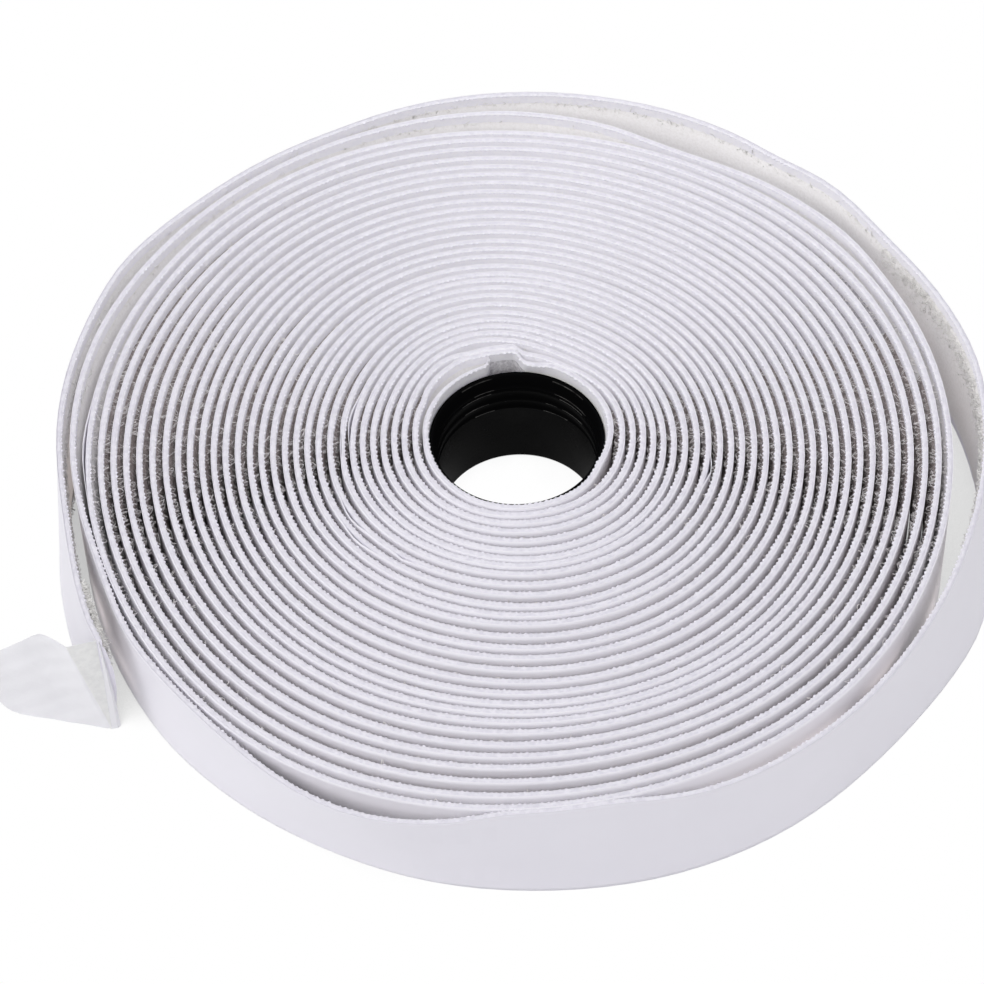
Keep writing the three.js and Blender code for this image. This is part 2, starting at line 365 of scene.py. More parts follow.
def bump(value):
    """A round-topped bump, 1 at 0 and nothing from 1 either way."""
    return 0.5 + 0.5 * np.cos(np.pi * np.clip(np.abs(value), 0, 1))


def ease(value):
    """A smooth step from 0 to 1."""
    value = np.clip(value, 0, 1)
    return value * value * (3 - 2 * value)


def angle_of(turn):
    return START_ANGLE + 360.0 * turn


def gap_line(turn, sizes):
    """Radius of the middle of the gap inside a turn: a spiral of growing pitch, out of round by
    six harmonics whose strength changes from the core outwards, with some quarters looser."""
    held = np.clip(turn, 0, 28.95)
    share = held / 29.0
    radius = (
        mm(sizes.first_radius) + mm(sizes.first_pitch) * held + mm(sizes.pitch_growth) * held**2 / 2
    )
    powers = np.stack([np.ones_like(share), share, share**2])
    theta = np.radians(angle_of(turn))
    for number, (cosine, sine) in enumerate(HARMONICS, 1):
        radius = radius + np.tensordot(cosine, powers, 1) * np.cos(number * theta)
        radius = radius + np.tensordot(sine, powers, 1) * np.sin(number * theta)
    quarter = np.clip(turn * 4, 0, len(LOOSENESS) - 1.001)
    before = np.floor(quarter).astype(int)
    between = ease(quarter - before)
    loose = LOOSENESS[before] * (1 - between) + LOOSENESS[before + 1] * between
    return radius + loose / 10.0


def smooth(line, width):
    """A line of values, each replaced by the mean of its neighbours under a bell of that width."""
    reach = np.arange(-3 * width, 3 * width + 1)
    weights = np.exp(-0.5 * (reach / width) ** 2)
    padded = np.pad(line, 3 * width, mode="edge")
    return np.convolve(padded, weights / weights.sum(), mode="valid")


def smooth_table(rows, column, at, width=4):
    """A smooth line through listed places: straight between them, then rounded."""
    fine = np.arange(rows[0, 0], rows[-1, 0] + 0.25, 0.5)
    return np.interp(at, fine, smooth(np.interp(fine, rows[:, 0], rows[:, column]), width))


def start_share(turn):
    """The tape is pressed thin at its start: the share of its thickness at a turn."""
    return 0.5 + 0.5 * ease((np.asarray(turn) + 1) / 0.22)


def strip_thickness(sizes):
    return mm(sizes.ground_thickness + sizes.liner_thickness)


def measure_tape(sizes):
    """Radii of the ground's inner face at the top and the bottom edge, and the length of tape, at
    close steps from the start. A turn lies midway between the gaps at its two sides. No turn
    comes nearer to its neighbour than the clearance: from the core outwards they push each other
    outwards, and at the bottom of the leaning outer turns they push each other inwards."""
    per = STEPS_MEASURED
    thick = strip_thickness(sizes)
    turns = np.arange(-per, int(per * (LAST_TURN + 0.01)) + 1) / per
    angle = angle_of(turns)
    inner = gap_line(turns, sizes)
    free = inner - gap_line(turns - 1, sizes) - thick
    radius = (inner + gap_line(turns + 1, sizes) - thick) / 2
    outermost = inner + np.clip(free, 0.3, 1.6) / 2
    radius = radius + (outermost - radius) * ease((turns - OUTER_TURN) / 0.3)
    first = angle + 360
    start = smooth_table(START, 1, first, 1)
    radius = start + (radius - start) * ease((first - 530) / 30)
    second = smooth_table(SECOND, 1, first, 2)
    radius = radius + (second - radius) * ease((first - 765) / 15) * (1 - ease((first - 830) / 20))
    slack_angle = angle - 360 * 28
    share = ease((slack_angle - 384) / 14)
    top = radius + (smooth_table(SLACK, 1, slack_angle) - thick - radius) * share
    bottom = radius + (smooth_table(SLACK, 2, slack_angle) - thick - radius) * share
    count = len(turns)
    for low in range(per, count, per):
        high = min(low + per, count)
        top[low:high] = np.maximum(top[low:high], top[low - per : high - per] + thick + CLEARANCE)
        tight = turns[low:high] < LOOSE_TURN
        bottom[low:high] = np.where(tight, top[low:high], bottom[low:high])
    for low in range(count // per * per - per, per * (LEANING_TURN + 1), -per):
        high = min(low + per, count - per)
        limit = bottom[low + per : high + per] - thick - CLEARANCE
        bottom[low:high] = np.minimum(bottom[low:high], limit)
    MEASURED["turn"] = turns
    MEASURED["top"] = smooth(top, 3)
    MEASURED["bottom"] = smooth(bottom, 3)
    radius = MEASURED["bottom"]
    steps = np.hypot(np.diff(radius), radius[1:] * 2 * np.pi / per)
    MEASURED["length"] = np.concatenate([[0.0], np.cumsum(steps)])


def length_at(turn):
    return np.interp(turn, MEASURED["turn"], MEASURED["length"])


def turn_at(length):
    return np.interp(length, MEASURED["length"], MEASURED["turn"])


def inner_face(turn, z, sizes):
    """Radius of the ground's inner face at a turn and a height."""
    height = np.asarray(z, float) / mm(sizes.tape_width)
    top = np.interp(turn, MEASURED["turn"], MEASURED["top"])
    bottom = np.interp(turn, MEASURED["turn"], MEASURED["bottom"])
    brim = np.interp(angle_of(np.asarray(turn)) + 360, BRIM[:, 0], BRIM[:, 1])
    return bottom + (top - bottom) * height + brim * np.clip((height - 0.88) / 0.12, 0, 1)


def free_gap(turn, z, sizes):
    """Width of the gap inside a turn, between the inner face and the liner of the turn before."""
    turn = np.asarray(turn)
    thick = strip_thickness(sizes)
    core = mm(sizes.core_radius) - thick
    before = np.where(turn < 0, core, inner_face(turn - 1, z, sizes))
    return np.clip(inner_face(turn, z, sizes) - before - thick, 0.05, None)


def on_turn(turn, z, outward, sizes):
    """The point at a turn and a height, that far outside the ground's inner face."""
    radius = inner_face(turn, z, sizes) + outward
    theta = np.radians(angle_of(turn))
    z = np.broadcast_to(z, radius.shape)
    return np.stack([radius * np.cos(theta), radius * np.sin(theta), z], -1)


def mesh_object(
    name, points, faces, uv=None, smooth=True, materials=(), material_index=None, sharp=None
):
    """A mesh from arrays: points in mm from the core's axis, faces all with as many corners.
    smooth is one value or one per face, and edges that turn by more than sharp degrees are
    shaded as creases."""
    mesh = bpy.data.meshes.new(name)
    points = place(points).astype(np.float32)
    faces = np.asarray(faces, np.int32)
    corners = faces.shape[1]
    mesh.vertices.add(len(points))
    mesh.vertices.foreach_set("co", points.ravel())
    mesh.loops.add(faces.size)
    mesh.loops.foreach_set("vertex_index", faces.ravel())
    mesh.polygons.add(len(faces))
    mesh.polygons.foreach_set("loop_start", np.arange(0, faces.size, corners, dtype=np.int32))
    mesh.polygons.foreach_set("use_smooth", np.broadcast_to(smooth, len(faces)).copy())
    if material_index is not None:
        mesh.polygons.foreach_set("material_index", np.asarray(material_index, np.int32))
    if uv is not None:
        layer = mesh.uv_layers.new(name="UVMap")
        layer.data.foreach_set("uv", np.asarray(uv, np.float32)[faces.ravel()].ravel())
    mesh.update(calc_edges=True)
    mesh.validate()
    if sharp:
        mesh.set_sharp_from_angle(angle=math.radians(sharp))
    piece = bpy.data.objects.new(name, mesh)
    bpy.context.scene.collection.objects.link(piece)
    for finish in materials:
        mesh.materials.append(finish)
    return piece


def ring_faces(rows, columns, closed=False):
    """Quads between rows of a ring of columns, with the rows closed on themselves if asked."""
    row = np.arange(rows if closed else rows - 1)[:, None] * columns
    column = np.arange(columns)[None, :]
    after = (row + columns) % (rows * columns)
    beside = (column + 1) % columns
    quads = [row + column, after + column, after + beside, row + beside]
    return np.stack(quads, -1).reshape(-1, 4)


def strip(name, turns, profile, sizes, materials, outwards, pick_material=None):
    """A wound strip: a closed section of (outward, height) places swept along the winding.
    outwards moves the section's places at each turn, and pick_material gives each face's slot,
    which is 0 without it. Its two ends are closed by quads across the section."""
    outward = np.array([p[0] for p in profile])
    height = np.array([p[1] for p in profile])
    grid_turn = np.repeat(turns[:, None], len(profile), 1)
    grid_height = np.broadcast_to(height, grid_turn.shape)
    grid_out = outwards(grid_turn, grid_height, np.broadcast_to(outward, grid_turn.shape), sizes)
    points = on_turn(grid_turn, grid_height, grid_out, sizes).reshape(-1, 3)
    faces = ring_faces(len(turns), len(profile))
    index = pick_material(turns[:-1], height) if pick_material else np.zeros(len(faces), int)
    around = np.concatenate([[0], np.cumsum(np.hypot(np.diff(outward), np.diff(height)))])
    along = np.repeat(length_at(turns)[:, None], len(profile), 1)
    uv = np.stack([along / 10, np.broadcast_to(around / 10, grid_turn.shape)], -1).reshape(-1, 2)
    count = len(profile)
    last = (len(turns) - 1) * count
    low = np.arange((count - 2) // 2)[:, None]
    start_cap = np.hstack([low, low + 1, count - 2 - low, count - 1 - low])
    faces = np.vstack([faces, start_cap, start_cap[:, ::-1] + last])
    index = np.concatenate([index, np.zeros(2 * len(low), int)])
    rounded = np.arange(len(faces)) < len(faces) - 2 * len(low)
    return mesh_object(name, points, faces, uv, rounded, materials, index)


def material(name, color, roughness, specular=0.5):
    made = bpy.data.materials.new(name)
    made.use_nodes = True
    shader = made.node_tree.nodes["Principled BSDF"]
    shader.inputs["Base Color"].default_value = (*color, 1)
    shader.inputs["Roughness"].default_value = roughness
    shader.inputs["Specular IOR Level"].default_value = specular
    made.diffuse_color = (*color, 1)
    return made, made.node_tree, shader


def node(tree, kind, **values):
    made = tree.nodes.new(kind)
    for name, value in values.items():
        if name in made.inputs:
            made.inputs[name].default_value = value
        else:
            setattr(made, name, value)
    return made


def tinted(shades, tint):
    """The stops of a ramp, each colour multiplied by a tint."""
    return [(at, tuple(c * t for c, t in zip(color, tint))) for at, color in shades]


def coordinates(tree, source, scale=(1.0, 1.0, 1.0)):
    place_node = node(tree, "ShaderNodeTexCoord")
    mapping = node(tree, "ShaderNodeMapping")
    mapping.inputs["Scale"].default_value = scale
    tree.links.new(place_node.outputs[source], mapping.inputs["Vector"])
    return mapping.outputs["Vector"]


def ramp(tree, factor, stops):
    made = node(tree, "ShaderNodeValToRGB")
    elements = made.color_ramp.elements
    while len(elements) < len(stops):
        elements.new(0.5)
    for element, (position, color) in zip(elements, stops):
        element.position = position
        element.color = (*color, 1)
    tree.links.new(factor, made.inputs["Fac"])
    return made.outputs["Color"]


def add_bump(tree, shader, height, strength, distance):
    made = node(tree, "ShaderNodeBump", Strength=strength, Distance=distance)
    tree.links.new(height, made.inputs["Height"])
    tree.links.new(made.outputs["Normal"], shader.inputs["Normal"])


def clouded(tree, shader, source, shades=None, relief=None, stretch=(1.0, 1.0, 1.0), **values):
    """Noise over a piece, whose factor it returns. The shades, where there are any, make it the
    colour, and the relief, a strength and a depth, makes it a bump."""
    noise = node(tree, "ShaderNodeTexNoise", **values)
    tree.links.new(coordinates(tree, source, stretch), noise.inputs["Vector"])
    if shades:
        tree.links.new(ramp(tree, noise.outputs["Fac"], shades), shader.inputs["Base Color"])
    if relief:
        add_bump(tree, shader, noise.outputs["Fac"], *relief)
    return noise.outputs["Fac"]


def ground_material(name, shades):
    """White woven edge with a fine rib across the tape and a faint mottle."""
    shades = tinted(shades, bpy.context.scene.tape_roll.tape_color)
    made, tree, shader = material(name, shades[1][1], 0.75, 0.25)
    weave = node(tree, "ShaderNodeTexWave", Scale=1.0, Distortion=0.6, Detail=1.0)
    tree.links.new(coordinates(tree, "UV", (17.0, 17.0, 1.0)), weave.inputs["Vector"])
    add_bump(tree, shader, weave.outputs["Fac"], 0.5, 0.0002)
    clouded(tree, shader, "UV", shades, Scale=9.0, Detail=3.0)
    return made


def mat_material(name, shades, relief):
    """Top of the pile mat: tangled filaments broken up at the size of a loop, in a painted shade.
    """
    shades = tinted(shades, bpy.context.scene.tape_roll.tape_color)
    made, tree, shader = material(name, shades[1][1], 0.9, 0.15)
    bumps = (relief, 0.0005)
    clouded(tree, shader, "UV", shades, bumps, Scale=16.0, Detail=6.0, Roughness=0.75)
    return made


def filament_material(name, color):
    """Shiny filament, a little darker here and there."""
    dark = tuple(0.85 * value for value in color)
    shades = tinted([(0.35, dark), (0.65, color)], bpy.context.scene.tape_roll.tape_color)
    made, tree, shader = material(name, shades[1][1], 0.35, 0.5)
    clouded(tree, shader, "Object", shades, Scale=900.0)
    return made


def liner_material(name):
    """Smooth satin film, slightly wavy where the adhesive holds it. Where the outermost turn lies
    open it takes a painted darker shade, and gets there gradually, over some 30 mm; the lighter
    shade of the covered turns before it is painted light in the pocket behind the loose end."""
    tint = bpy.context.scene.tape_roll.liner_color
    made, tree, shader = material(name, LINER_SHADES[1][1], 0.42, 0.4)
    noise = clouded(tree, shader, "UV", None, (0.15, 0.0006), Scale=0.35, Detail=3.0)
    split = node(tree, "ShaderNodeSeparateXYZ")
    tree.links.new(coordinates(tree, "UV"), split.inputs["Vector"])
    share = node(tree, "ShaderNodeMapRange")
    share.inputs["From Min"].default_value = length_at(COVERED_TURN - 0.06) / 10
    share.inputs["From Max"].default_value = length_at(COVERED_TURN) / 10
    tree.links.new(split.outputs["X"], share.inputs["Value"])
    mix = node(tree, "ShaderNodeMix", data_type="RGBA")
    tree.links.new(share.outputs["Result"], mix.inputs[0])
    # The lighter shades, then the painted darker shade of the open outer turn
    for slot, shades in ((6, LINER_SHADES), (7, PAINTED_OUTER_LINER_STOPS)):
        tree.links.new(ramp(tree, noise, tinted(shades, tint)), mix.inputs[slot])
    tree.links.new(mix.outputs[2], shader.inputs["Base Color"])
    return made


def flap_material(name, shades, scale, relief):
    """The peeled film is thin and clouded, with small bubbles near its fold."""
    shades = tinted(shades, bpy.context.scene.tape_roll.liner_color)
    made, tree, shader = material(name, shades[1][1], 0.5, 0.3)
    clouded(tree, shader, "Object", shades, (relief, 0.0006), Scale=scale, Detail=4.0)
    return made


def flap_materials():
    return [
        shared("liner_peeled", flap_material, PEELED_SHADES, 160.0, 0.25),
        shared("liner_bubbly", flap_material, BUBBLY_SHADES, 700.0, 0.45),
    ]


def core_material(name):
    """Glossy black moulding with faint marks."""
    made, tree, shader = material(name, bpy.context.scene.tape_roll.core_color, 0.25, 0.004)
    noise = clouded(tree, shader, "Object", None, (0.12, 0.0003), Scale=260.0, Detail=4.0)
    rough = node(tree, "ShaderNodeMapRange")
    rough.inputs["To Min"].default_value = 0.16
    rough.inputs["To Max"].default_value = 0.34
    tree.links.new(noise, rough.inputs["Value"])
    tree.links.new(rough.outputs["Result"], shader.inputs["Roughness"])
    return made


def painted_highlight_material(name):
    """Broken lighter streaks on the moulding: painted highlights of the lamps' reflections."""
    made, tree, shader = material(name, HIGHLIGHT_STOPS[0][1], 0.4, 0.08)
    stretch = (1.0, 1.0, 0.2)
    clouded(tree, shader, "Object", HIGHLIGHT_STOPS, None, stretch, Scale=500.0, Detail=3.0)
    return made


def shared(name, make, *values):
    """The material of that name, made the first time that a piece asks for it."""
    return bpy.data.materials.get(name) or make(name, *values)


def ground_materials():
    """Slots of the ground: woven edge, mat between tight turns in a dark painted shade, mat that
    lies open in a lit copy, bare margin of the inner face in a lighter copy of the woven edge
    (painted light), and mat at the back of the roll in a paler painted shade."""
    return [
        shared("tape_ground", ground_material, GROUND_SHADES),
        shared("pile_mat", mat_material, MAT_DEEP_SHADE_STOPS, 0.9),
        shared("pile_mat_open", mat_material, MAT_LIT_STOPS, 0.22),
        shared("tape_margin", ground_material, LIT_MARGIN_STOPS),
        shared("pile_mat_grey", mat_material, MAT_HALF_SHADE_STOPS, 0.6),
    ]


def ground_profile(sizes):
    """Section of the ground: (outward, height), anticlockwise from the inner bottom corner. From
    place MAT_FACE on it goes down the inner face, where the pile is."""
    thick = mm(sizes.ground_thickness)
    wide = mm(sizes.tape_width)
    margin = mm(sizes.bare_margin)
    return [
        (0.10, 0.0),
        (thick - 0.12, 0.0),
        (thick, 0.15),
        (thick, 0.9),
        (thick, wide / 2 - 2),
        (thick, wide / 2 + 2),
        (thick, wide - 0.9),
        (thick, wide - 0.15),
        (thick - 0.12, wide),
        (0.12, wide),
        (0.0, wide - 0.12),
        (0.03, wide - margin),
        (0.0, wide - margin - 0.6),
        (0.0, wide - margin - 2.4),
        (0.0, wide - margin - 5.0),
        (0.0, wide - margin - 8.0),
        (0.0, margin + 8.0),
        (0.0, margin + 5.0),
        (0.0, margin + 0.6),
        (0.03, margin),
    ]


def pile_depth(turn, height, outward, sizes):
    """The pile mat stands inwards from the ground, between the bare margins. It fills two thirds
    of the gap near the edges and nearly all of it further in, up to its own height."""
    margin = mm(sizes.bare_margin)
    from_edge = np.minimum(height, mm(sizes.tape_width) - height) - margin
    rise = 0.22 * ease(from_edge / 0.6) + 0.46 * ease(from_edge / 5.0)
    rise = rise + 0.30 * ease((from_edge - 4.0) / 4.0)
    deep = np.minimum(free_gap(turn, height, sizes), mm(sizes.pile_height))
    on_inner = (outward < 0.01) & (from_edge > 0) & (turn > PILE_START)
    return np.where(on_inner, outward - rise * deep, outward * start_share(turn))


def ground_slots(turns, height):
    """Slot of each face, in the order of ground_materials: the slack turns and the start lie open
    and take the lit copy of the mat, the back of the roll and the gap beside the tape's start its
    paler painted shade, and the tight gaps elsewhere its dark painted shade."""
    wide = height.max()
    face = np.arange(len(height))
    after = np.roll(height, -1)
    lowest, highest = np.minimum(height, after), np.maximum(height, after)
    inner = (face >= MAT_FACE) & (lowest > MATLESS) & (highest < wide - MATLESS)
    mat = inner[None, :] & (turns[:, None] > PILE_START)
    beside_start = (turns > -0.06) & (turns < 0.005)
    start = (turns < -0.06) | ((turns > 0.005) & (turns < 0.22))
    angle = np.radians(angle_of(turns))
    behind = (np.sin(angle) > 0.3) & (np.cos(angle) > -0.5)
    # Painted light and shade: the mat's slot follows where light reaches, the pile is the same
    lit_copy = ((turns > LOOSE_TURN - 1.05) | start)[:, None]
    half_shaded = (behind | beside_start)[:, None]
    # Painted light: the top margin takes the lighter copy of the woven edge
    margin = (face >= MARGIN_FACE) & (face < MAT_FACE)
    shade = np.where(lit_copy, 2, np.where(half_shaded, 4, 1))
    return np.where(mat, shade, np.where(margin, 3, 0)[None, :]).ravel()


def stations(first, last, sizes):
    """Turns at which a strip has its grid lines, closer where it climbs over its own end. A line
    beside each end keeps the shading of the cut off the faces next to it."""
    count = max(int(round((last - first) * sizes.steps_per_turn)), 8)
    close = [(-1, -0.94, 900), (-0.1, -0.03, 900), (-0.03, 0.05, 360), (0.92, 1.02, 360)]
    close = np.concatenate([np.arange(low, high, 1 / per) for low, high, per in close])
    close = close[(close > first) & (close < last)]
    turns = np.unique(np.round([*np.linspace(first, last, count + 1), *close], 6))
    turns = turns[np.concatenate([[True], np.diff(turns) > LEAST_STEP])]
    beside = [turns[0] + BESIDE_END], turns[1:-1], [turns[-1] - BESIDE_END]
    return np.concatenate([turns[:1], *beside, turns[-1:]])


def liner_profile(sizes):
    """Section of the liner: a thin rectangle on the ground's outer face, with its heights."""
    thick = mm(sizes.ground_thickness)
    near = thick + 0.02
    far = near + mm(sizes.liner_thickness)
    heights = sorted({z for outward, z in ground_profile(sizes) if outward == thick})
    heights = [0.0, *heights[1:-1], mm(sizes.tape_width)]
    return [(near, 0.0)] + [(far, z) for z in heights] + [(near, z) for z in heights[:0:-1]]


def liner_outward(turn, height, outward, sizes):
    """The liner follows the ground, apart from the buckles, which come off at the top edge."""
    lift = 0 * turn
    for middle, half, rise in BUCKLES:
        lift = lift + rise * bump((turn - middle) * 360 / half)
    return outward * start_share(turn) + lift * (height / mm(sizes.tape_width)) ** 3


def weft_beads(name, first, last, sizes):
    """The weft turns back at the edge in small beads: octahedra along the inner top edge."""
    random = np.random.default_rng(5)
    places = np.arange(length_at(first) + 0.3, length_at(last) - 0.2, mm(sizes.scallop_pitch))
    places = places + random.uniform(-0.14, 0.14, len(places))
    turns = turn_at(places)
    wide = mm(sizes.tape_width)
    centre = on_turn(turns, wide - 0.18, random.uniform(-0.02, 0.10, len(turns)), sizes)
    theta = np.radians(angle_of(turns))
    radial = np.stack([np.cos(theta), np.sin(theta), 0 * theta], -1)
    along = np.stack([-np.sin(theta), np.cos(theta), 0 * theta], -1)
    upward = np.broadcast_to([0.0, 0.0, 1.0], radial.shape)
    size = random.uniform(0.75, 1.2, (len(turns), 1))
    axes = [0.46 * size * along, 0.30 * size * radial, 0.17 * size * upward]
    corners = [centre + axes[0], centre + axes[1], centre - axes[0], centre - axes[1]]
    corners = np.stack([*corners, centre + axes[2], centre - axes[2]], 1)
    above = np.array([[1, 4, 0], [2, 4, 1], [3, 4, 2], [0, 4, 3]])
    shape = np.vstack([above, np.where(above == 4, 5, above)[:, ::-1]])
    faces = (np.arange(len(turns))[:, None, None] * 6 + shape[None]).reshape(-1, 3)
    return mesh_object(name, corners.reshape(-1, 3), faces, None, True, [ground_materials()[0]])


def pile(name, first, last, density, heights, low_z, high_z, sizes, seed, finish):
    """Pile loops on the inner face: each an arc of a fine filament whose two feet are in the
    ground, leaning and twisting at random. A loop's height is a share of its room."""
    random = np.random.default_rng(seed)
    begin, end = length_at(first), length_at(last)
    count = int((end - begin) * (high_z - low_z) * density)
    foot = random.uniform(begin + 1, end - 0.6, count)
    foot_z = low_z + (high_z - low_z) * random.uniform(0, 1, count)
    spread = random.uniform(0.3, 1.5, count)
    heading = random.uniform(0, 2 * np.pi, count)
    room = np.minimum(free_gap(turn_at(foot), foot_z, sizes), mm(sizes.pile_height))
    height = room * random.uniform(heights[0], heights[1], count)
    lean = random.normal(0, 0.45, (count, 2))
    points_along = 6
    t = np.linspace(0, 1, points_along)[None, :]
    arch = np.sin(np.pi * t) ** 0.8
    wiggle = random.normal(0, 0.12, (3, count, points_along)) * arch
    along = foot[:, None] + spread[:, None] * np.cos(heading)[:, None] * (t - 0.5)
    along = along + lean[:, :1] * arch + wiggle[0]
    z = foot_z[:, None] + spread[:, None] * np.sin(heading)[:, None] * (t - 0.5)
    z = np.clip(z + lean[:, 1:] * arch + wiggle[1], 0.4, mm(sizes.tape_width) - 0.5)
    inward = height[:, None] * arch * (1 + 0.6 * wiggle[2]) - 0.05
    points = on_turn(turn_at(along), z, -inward, sizes)
    tangent = np.gradient(points, axis=1)
    tangent /= np.linalg.norm(tangent, axis=2, keepdims=True) + 1e-9
    helper = np.broadcast_to([0.3, 0.2, 0.93], tangent.shape)
    side = np.cross(tangent, helper)
    side /= np.linalg.norm(side, axis=2, keepdims=True) + 1e-9
    other = np.cross(tangent, side)
    radius = mm(sizes.filament_diameter) / 2 * random.uniform(0.7, 1.3, (count, 1, 1, 1))
    turn = np.array([0, 2, 4]) * np.pi / 3
    ring = side[:, :, None] * np.cos(turn)[:, None] + other[:, :, None] * np.sin(turn)[:, None]
    vertices = (points[:, :, None] + radius * ring).reshape(-1, 3)
    quads = ring_faces(points_along, 3)
    faces = (np.arange(count)[:, None, None] * points_along * 3 + quads[None]).reshape(-1, 4)
    made = shared(finish, filament_material, FILAMENT_COLORS[finish])
    return mesh_object(name, vertices, faces, None, True, [made])


def core_surface(sizes):
    """The core as a profile turned about its axis: a plain outer wall, and low ribs below a wide
    bevel inside the mouth. Also says which faces lie on an arc of painted highlight."""
    outer = mm(sizes.core_radius)
    bore = mm(sizes.bore_radius)
    top = mm(sizes.tape_width - sizes.core_recess)
    bevel = 0.3
    profile = [
        (bore + bevel, 0.0),
        (outer - bevel, 0.0),
        (outer, bevel),
        (outer, top - 0.15),
        (outer - 0.12, top),
        (outer - 0.45, top),
        (outer - 0.55, top - 0.1),
        (outer - 0.68, top - 0.32),
        (outer - 0.78, top - 0.48),
        (bore + 0.12, top - 1.6),
        (bore, top - 2.0),
    ]
    for depth in RIB_DEPTHS:
        profile += [
            (bore, top - depth + 0.3),
            (bore - 0.06, top - depth + 0.22),
            (bore - 0.16, top - depth + 0.1),
            (bore - 0.16, top - depth - 0.1),
            (bore - 0.06, top - depth - 0.22),
            (bore, top - depth - 0.3),
        ]
    profile += [(bore, bevel)]
    sides = 160
    theta = np.linspace(0, 2 * np.pi, sides, endpoint=False)[:, None]
    radius, height = np.array(profile).T
    height = np.broadcast_to(height, (sides, len(profile)))
    points = np.stack([radius * np.cos(theta), radius * np.sin(theta), height], -1).reshape(-1, 3)
    faces = ring_faces(sides, len(profile), closed=True)
    middle = points[faces].mean(1)
    angle = np.degrees(np.arctan2(middle[:, 1], middle[:, 0]))
    inside = np.hypot(middle[:, 0], middle[:, 1]) < outer - 0.6
    narrow = inside & (np.ptp(points[faces][:, :, 2], axis=1) < 0.5)
    # Faces on these arcs get the painted highlight
    on_highlight = np.zeros(len(faces), bool)
    for at, low, high in HIGHLIGHT_ARCS:
        on_highlight |= narrow & (np.abs(middle[:, 2] - at) < 0.09) & (angle > low) & (angle < high)
    return points, faces, on_highlight


def sheet_solid(sheet):
    """A piece of film: a grid of points (rows, columns, 3) that faces the viewer, its back, which
    is the same grid set back by the film's thickness, and a rim of quads between them."""
    rows, columns = sheet.shape[:2]
    count = rows * columns
    a = np.arange(rows - 1)[:, None] * columns + np.arange(columns - 1)[None, :]
    front = np.stack([a, a + columns, a + columns + 1, a + 1], -1).reshape(-1, 4)
    rim = np.concatenate(
        [
            np.arange(columns),
            np.arange(1, rows) * columns + columns - 1,
            (rows - 1) * columns + np.arange(columns - 2, -1, -1),
            np.arange(rows - 2, 0, -1) * columns,
        ]
    )
    after = np.roll(rim, -1)
    sides = np.stack([rim, after, after + count, rim + count], -1)
    front_points = sheet.reshape(-1, 3)
    points = np.concatenate([front_points, front_points - np.array([*FLAP_ACROSS, 0.0]) * FILM])
    return points, np.vstack([front, front[:, ::-1] + count, sides])


def flap_surface(sizes):
    """The folded liner: it stands on its edge from the fold at the cut end of the tape, with a
    crease from its top edge down to the foot of the fold, a clipped upper corner and a rounded
    lower one. Its columns follow the crease."""
    wide = mm(sizes.tape_width)
    columns, rows = 64, 60
    h = np.linspace(0, 1, rows)[:, None]
    column = np.arange(columns)[None, :]
    crease = CREASE_REACH * np.clip(h, 0.06, 1)
    beyond = (column - FACET_COLUMNS) / (columns - 1 - FACET_COLUMNS)
    before = crease * column / FACET_COLUMNS
    x = np.where(column < FACET_COLUMNS, before, crease + (FLAP_LENGTH - crease) * beyond)
    past = x - CORNER_START
    top = wide - 0.46 * (past + np.sqrt(past**2 + 0.2))
    bottom = 3.6 * np.clip((x - 16.5) / 4.5, 0, 1) ** 2
    z = bottom + (top - bottom) * h
    up = z / wide
    rise = np.where(x < crease, x / crease, np.clip(1 - (x - crease) / 8.0, 0, 1) ** 1.4)
    toward_view = 0.95 * (1 - up) + 2.5 * up * rise - 0.10 * (column == FACET_COLUMNS)
    toward_view = toward_view + 0.25 * np.sin(x * 0.5 + 1.0) * up * (x > crease)
    toward_view = toward_view + 0.05 * np.sin(z * 1.3 + x)
    flat = FLAP_START + x[..., None] * FLAP_ALONG + toward_view[..., None] * FLAP_ACROSS
    points, faces = sheet_solid(np.concatenate([flat, z[..., None]], -1))
    grid = (rows - 1) * (columns - 1)
    facet = np.arange(grid) % (columns - 1) < FACET_COLUMNS
    return points, faces, np.concatenate([facet, facet, np.zeros(len(faces) - 2 * grid, bool)])


def turned_surface(sizes):
    """The liner where it turns around the tape's cut end, up to its fold and a little behind it:
    straight between four lines that each follow the height in a formula of their own."""
    up = np.linspace(0, 1, 30)
    fold = FLAP_START + (0.95 * (1 - up))[:, None] * FLAP_ACROSS
    corners = [
        np.stack([-71.3 - 1.0 * up**2, -44.35 + 0 * up], -1),
        np.stack([-71.75 - 0.5 * up**2, -44.85 + 0.3 * up], -1),
        fold - 0.06 * FLAP_ACROSS,
        fold + 0.7 * FLAP_ALONG - 0.16 * FLAP_ACROSS,
    ]
    corners = np.stack(corners, 1)
    at = np.linspace(0, 3, 19)
    corner = np.minimum(at.astype(int), 2)
    share = (at - corner)[:, None]
    path = corners[:, corner] * (1 - share) + corners[:, corner + 1] * share
    z = np.broadcast_to((up * (mm(sizes.tape_width) - 0.1) + 0.05)[:, None, None], (30, 19, 1))
    return sheet_solid(np.concatenate([path, z], -1))


def dress(piece, body, slot, *replaced, bent=False):
    """The piece rides on its body; one that is bent instead has its place baked into its points.
    The parts that it replaces are hidden."""
    if bent:
        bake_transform(piece)
    else:
        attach(piece, body)
    if replaced:
        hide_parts(*replaced)


